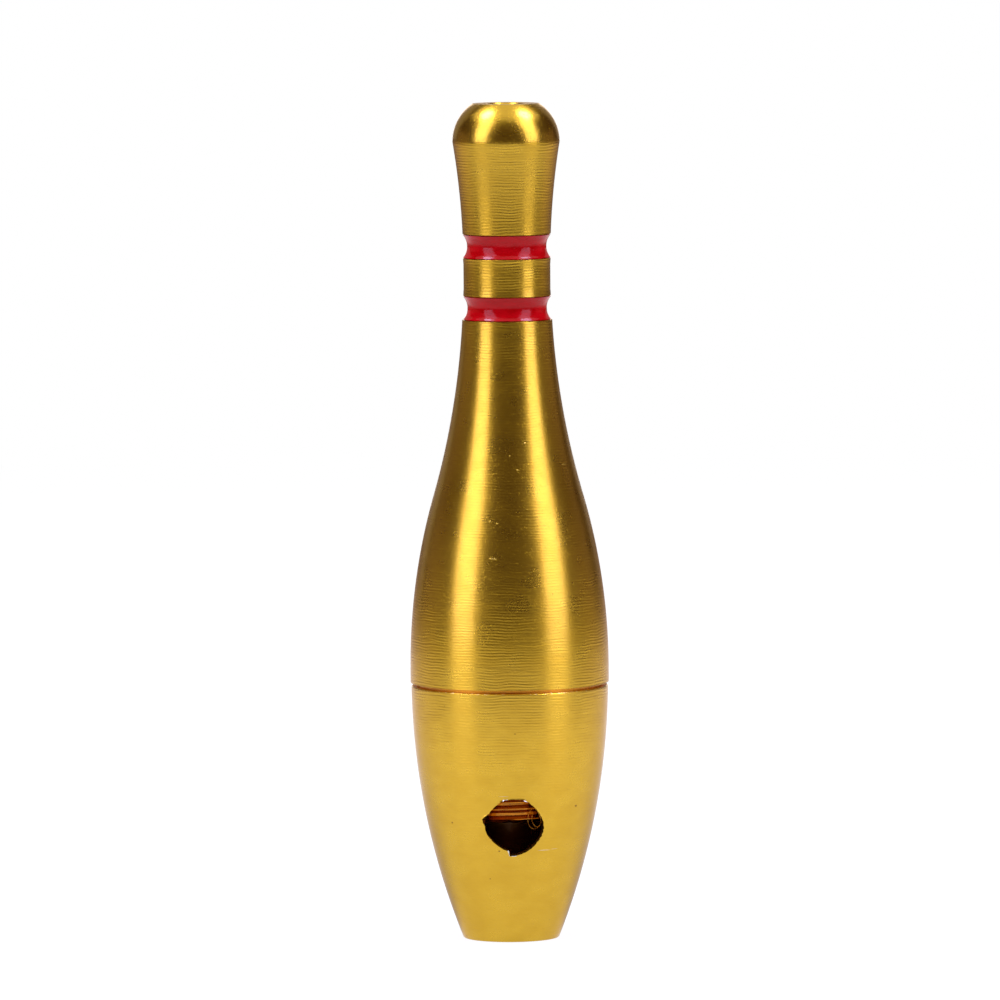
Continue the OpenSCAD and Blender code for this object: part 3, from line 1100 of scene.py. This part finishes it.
def make_camera():
    """A long lens, slightly above the middle of the object."""
    data = bpy.data.cameras.new("camera")
    camera = bpy.data.objects.new("camera", data)
    bpy.context.scene.collection.objects.link(camera)
    a = math.radians(VIEW_AZIMUTH)
    right = Vector((math.cos(a), math.sin(a), 0))
    eye = Vector((VIEW_DISTANCE * math.sin(a), -VIEW_DISTANCE * math.cos(a), VIEW_HEIGHT))
    aim = Vector((0, 0, VIEW_AIM_Z)) - right * VIEW_LEFT
    eye -= right * VIEW_LEFT
    camera.location = eye * MM
    roll = Matrix.Rotation(math.radians(-VIEW_ROLL), 3, "Z")
    turned = (aim - eye).to_track_quat("-Z", "Y").to_matrix() @ roll
    camera.rotation_euler = turned.to_euler()
    data.sensor_width = SENSOR
    data.lens = SENSOR * (aim - eye).length / VIEW_FIELD
    data.clip_start = 0.05
    data.clip_end = 30
    bpy.context.scene.camera = camera


WHITE = (1.0, 1.0, 1.0)
DAYLIGHT = (1.0, 0.97, 1.4)
WARM = (1.0, 0.76, 0.7)
LIGHT_DISTANCE = 1500


def panel(name, azimuth, elevation, width, height, radiance, colour=WHITE, shape="RECTANGLE"):
    """A soft light that faces the object. Azimuth is from the camera's side, to the right; sizes are in
    degrees, as the object sees them.
    """
    a, e = math.radians(azimuth + VIEW_AZIMUTH), math.radians(elevation)
    way = Vector((math.sin(a) * math.cos(e), -math.cos(a) * math.cos(e), math.sin(e)))
    data = bpy.data.lights.new(name, "AREA")
    data.shape = shape
    data.size = 2 * LIGHT_DISTANCE * MM * math.tan(math.radians(width / 2))
    data.size_y = 2 * LIGHT_DISTANCE * MM * math.tan(math.radians(height / 2))
    area = data.size * data.size_y * (math.pi / 4 if shape == "ELLIPSE" else 1)
    data.energy = radiance * math.pi * area
    data.color = colour
    light = bpy.data.objects.new(name, data)
    bpy.context.scene.collection.objects.link(light)
    light.location = (way * LIGHT_DISTANCE + Vector((0, 0, VIEW_AIM_Z))) * MM
    light.rotation_euler = (-way).to_track_quat("-Z", "Y").to_euler()


def make_lights():
    """Two tall softboxes in front, two lamps above, and weaker light from the sides and the back."""
    panel("left_softbox", -57, 26, 29, 58, 3.0, DAYLIGHT)
    panel("right_softbox", 59, 26, 28, 58, 3.0, DAYLIGHT)
    for side in (-1, 1):
        panel("lamp", 84 * side, 61, 20, 20, 16, DAYLIGHT, "ELLIPSE")
        panel("low_fill", 108 * side, 7, 40, 13, 0.16, WARM)
        panel("rear_softbox", 172 * side, 24, 12, 52, 1.6)
    panel("backdrop", -174, 22, 82, 44, 0.27)
    panel("overhead", 0, 88, 96, 62, 1.0)


FLOOR_SHOWN = 1.0
FLOOR_DIFFUSE = 0.14
FLOOR_DEPTH = 0.02
# In metres: the disc's radius, and where it begins to fade and has faded
FLOOR_RADIUS = 3
FLOOR_PLAIN = 0.12
FLOOR_FADED = 0.6
FLOOR_NEAR = (1, 1, 1, 1)
FLOOR_FAR = (0.08, 0.046, 0.04, 1)
FLOOR_SIDE = (1.8, 1.4, 1.25, 1)
SIDE_GLOW = 0.2
SHADOW = 0.58
CONTACT_SHADOW = 0.13
STUDIO = (0.06, 0.03, 0.022, 1)


def falling_off(nodes, distance, half_at, power):
    """1 near the middle, a half at the distance half_at in metres, and 0 far away."""
    spread = nodes.math("POWER", nodes.math("DIVIDE", distance, half_at), power)
    return nodes.math("DIVIDE", 1.0, nodes.math("ADD", spread, 1.0))


def mirrored_floor(nodes, reach):
    """The floor as the metal mirrors it.

    It is brightest near the object, as on a table that is lit from close by, with a bright stretch at the
    sides and the back. It is shaded close behind the object and where the object stands. reach is the
    distance from the object's axis in metres.
    """
    mirrored = nodes.mix(falling_off(nodes, reach, 0.31, 6.0), FLOOR_FAR, FLOOR_NEAR)
    backward = nodes.math("DIVIDE", nodes.coordinate("Y"), reach)
    lit = nodes.math("MULTIPLY", nodes.remap(backward, -0.1, 0.35), nodes.remap(reach, 0.13, 0.24))
    lit = nodes.math("MULTIPLY", lit, falling_off(nodes, reach, 0.8, 4.0))
    mirrored = nodes.mix(nodes.math("MULTIPLY", lit, SIDE_GLOW), mirrored, FLOOR_SIDE)
    behind = nodes.remap(backward, 0.0, 0.9)
    shadow = nodes.math("MULTIPLY", behind, falling_off(nodes, reach, 0.08, 2.0))
    mirrored = nodes.mix(nodes.math("MULTIPLY", shadow, SHADOW), mirrored, BLACK)
    contact = falling_off(nodes, reach, 0.045, 3.0)
    return nodes.mix(nodes.math("MULTIPLY", contact, CONTACT_SHADOW), mirrored, BLACK)


def floor_paint():
    """Plain and pale. It glows a little, so that the object's shadow on it is faint."""
    nodes = Nodes("floor")
    reach = nodes.axis_distance()
    fade = nodes.remap(reach, FLOOR_FADED, FLOOR_PLAIN)
    mirrored = mirrored_floor(nodes, reach)
    shown = nodes.math("MULTIPLY_ADD", fade, -FLOOR_DIFFUSE, FLOOR_SHOWN)
    seen = nodes.add("ShaderNodeLightPath").outputs["Is Camera Ray"]
    pale = nodes.add("ShaderNodeCombineColor")
    for channel in pale.inputs:
        nodes.link(shown, channel)
    nodes.set(
        Base_Color=nodes.mix(fade, BLACK, (FLOOR_DIFFUSE, FLOOR_DIFFUSE, FLOOR_DIFFUSE, 1)),
        Roughness=0.9,
        Emission_Color=nodes.mix(seen, mirrored, pale.outputs[0]),
        Emission_Strength=1.0,
        Specular_IOR_Level=0.0,
    )
    return nodes.material


def make_floor():
    """A plain disc that fades into the backdrop."""
    work = bmesh.new()
    bmesh.ops.create_circle(work, cap_ends=True, segments=96, radius=FLOOR_RADIUS)
    mesh = bpy.data.meshes.new("floor")
    work.to_mesh(mesh)
    work.free()
    floor = bpy.data.objects.new("floor", mesh)
    bpy.context.scene.collection.objects.link(floor)
    floor.location.z = -FLOOR_DEPTH * MM
    mesh.materials.append(floor_paint())


def make_world():
    """Pale to the camera, and a warm dim studio to everything else."""
    world = bpy.data.worlds.new("studio")
    bpy.context.scene.world = world
    world.use_nodes = True
    tree = world.node_tree
    background = tree.nodes["Background"]
    seen = tree.nodes.new("ShaderNodeLightPath")
    colour = tree.nodes.new("ShaderNodeMix")
    colour.data_type = "RGBA"
    tree.links.new(seen.outputs["Is Camera Ray"], colour.inputs["Factor"])
    colour.inputs["A"].default_value = STUDIO
    colour.inputs["B"].default_value = (FLOOR_SHOWN, FLOOR_SHOWN, FLOOR_SHOWN, 1)
    tree.links.new(colour.outputs["Result"], background.inputs["Color"])


def set_view():
    """Plain tones, and enough bounces for the chamber and the thread."""
    scene = bpy.context.scene
    scene.view_settings.view_transform = "Standard"
    scene.view_settings.look = "None"
    scene.cycles.max_bounces = 16
    scene.cycles.glossy_bounces = 12
    scene.cycles.use_denoising = True


def main():
    # The spigot is coloured darker and more orange: painted shade, as it lies deep inside the cup.
    body_gold = gold_metal("gold_body", on_spigot, GOLD_SPIGOT_SHADE, 0.19, body_details)
    # The chamber's walls are coloured darker: painted shade, as they lie deep inside the cup.
    cup_gold = gold_metal("gold_cup", in_chamber, GOLD_CHAMBER_SHADE, 0.42, cup_details)
    enamel = red_enamel()
    bare = bare_metal()
    make_mouthpiece(body_gold)
    make_cup(cup_gold)
    make_band("upper_enamel", "upper_red_band", UPPER_GROOVE_Z, enamel, 1.7)
    make_band("lower_enamel", "lower_red_band", LOWER_GROOVE_Z, enamel, 5.2)
    make_gauze(brass_wire())
    make_burrs("white_burrs", WHITE_BURRS, bare)
    make_burrs("gold_burrs", GOLD_BURRS, cup_gold)
    make_swarf(swarf_metal())
    make_camera()
    make_lights()
    make_floor()
    make_world()
    set_view()


main()
